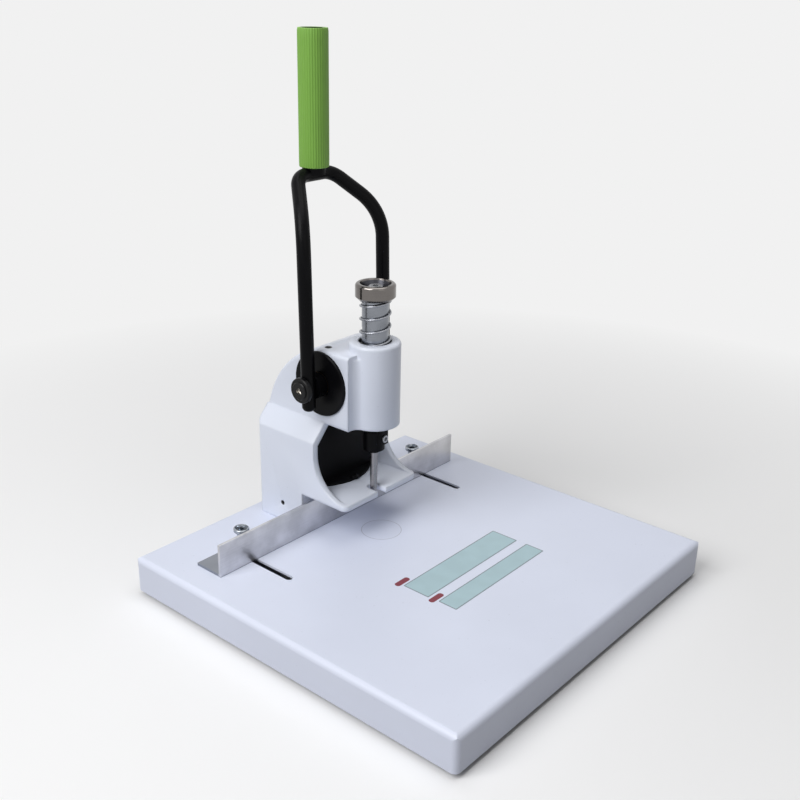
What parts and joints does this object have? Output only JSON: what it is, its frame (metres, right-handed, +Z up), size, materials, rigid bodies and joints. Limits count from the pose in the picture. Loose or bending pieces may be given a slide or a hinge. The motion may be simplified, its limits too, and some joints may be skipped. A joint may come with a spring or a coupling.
{
  "type": "paper drill",
  "caption": "Hand-lever paper drill: a hollow punch on a rack spindle, driven by a pinion and fork handle, on a box base with a sliding back fence.",
  "frame": {"origin": "middle of the base's footprint, at the level of the floor under the rubber feet", "axes": "+X to the operator's right, +Y from the operator to the column, +Z up"},
  "size_m": [0.358, 0.35, 0.4647],
  "materials": {
    "base_paint": "white powder coat, satin",
    "casting_paint": "white powder coat over a casting, satin",
    "foot_rubber": "moulded, matt",
    "pad_plastic": "turned nylon, matt",
    "zinc_steel": "zinc plated, satin",
    "black_steel": "black, satin",
    "cover_black": "black, matt",
    "fence_aluminium": "brushed along its length, satin",
    "screw_chrome": "polished",
    "gear_steel": "machined, oiled",
    "bush_bronze": "turned",
    "spindle_steel": "ground and polished",
    "spring_steel": "drawn wire, bright",
    "cap_chrome": "polished",
    "punch_steel": "ground",
    "grip_plastic": "green, ribbed, satin",
    "plug_plastic": "black, matt",
    "sticker_film": "bare printed film, pale blue, satin"
  },
  "bodies": {
    "frame": {"base_tray": "base_paint", "rubber_feet": "foot_rubber", "feet_screws": "zinc_steel", "frame_casting": "casting_paint", "column_bolts": "zinc_steel", "throat_cover": "cover_black", "cover_screw": "cover_black", "side_cap_left": "black_steel", "side_cap_right": "black_steel", "shaft_bushes": "bush_bronze", "guide_screw": "black_steel"},
    "pad": {"cutting_pad": "pad_plastic"},
    "fence": {"back_fence": "fence_aluminium", "fence_nuts": "zinc_steel"},
    "fence_screw_l": {"fence_screw_left": "screw_chrome"},
    "fence_screw_r": {"fence_screw_right": "screw_chrome"},
    "handle": {"cross_shaft": "gear_steel", "pinion": "gear_steel", "pinion_key": "zinc_steel", "handle_fork": "black_steel", "fork_collars": "black_steel", "fork_washers": "black_steel", "fork_bolts": "black_steel", "handle_grip": "grip_plastic", "grip_plug": "plug_plastic"},
    "plunger": {"rack_spindle": "spindle_steel", "return_spring": "spring_steel", "top_cap": "cap_chrome", "top_cap_screw": "zinc_steel", "chuck": "black_steel", "chuck_screw": "black_steel", "hollow_punch": "punch_steel"}
  },
  "joints": [
    {"name": "handle_swing", "type": "hinge", "parent": "frame", "child": "handle", "pos_m": [0, 0.0935, 0.177], "axis": [1, 0, 0], "range_deg": [0, 88.3]},
    {"name": "plunger_slide", "type": "slide", "parent": "frame", "child": "plunger", "axis": [0, 0, -1], "range_m": [0, 0.037], "stiffness_N_per_m": 1200, "springref_m": -0.012, "deforming": ["return_spring"]},
    {"name": "fence_slide", "type": "slide", "parent": "frame", "child": "fence", "axis": [0, -1, 0], "range_m": [0, 0.03]},
    {"name": "fence_screw_left_turn", "type": "hinge", "parent": "fence", "child": "fence_screw_l", "pos_m": [-0.114, 0.111, 0.06], "axis": [0, 0, 1], "range_deg": [0, 180]},
    {"name": "fence_screw_right_turn", "type": "hinge", "parent": "fence", "child": "fence_screw_r", "pos_m": [0.114, 0.111, 0.06], "axis": [0, 0, 1], "range_deg": [0, 180]},
    {"name": "pad_turn", "type": "hinge", "parent": "frame", "child": "pad", "pos_m": [0, 0.051, 0.0365], "axis": [0, 0, 1], "continuous": true}
  ],
  "couplings": [
    {"joint": "plunger_slide", "follows": "handle_swing", "m_per_rad": 0.024}
  ]
}
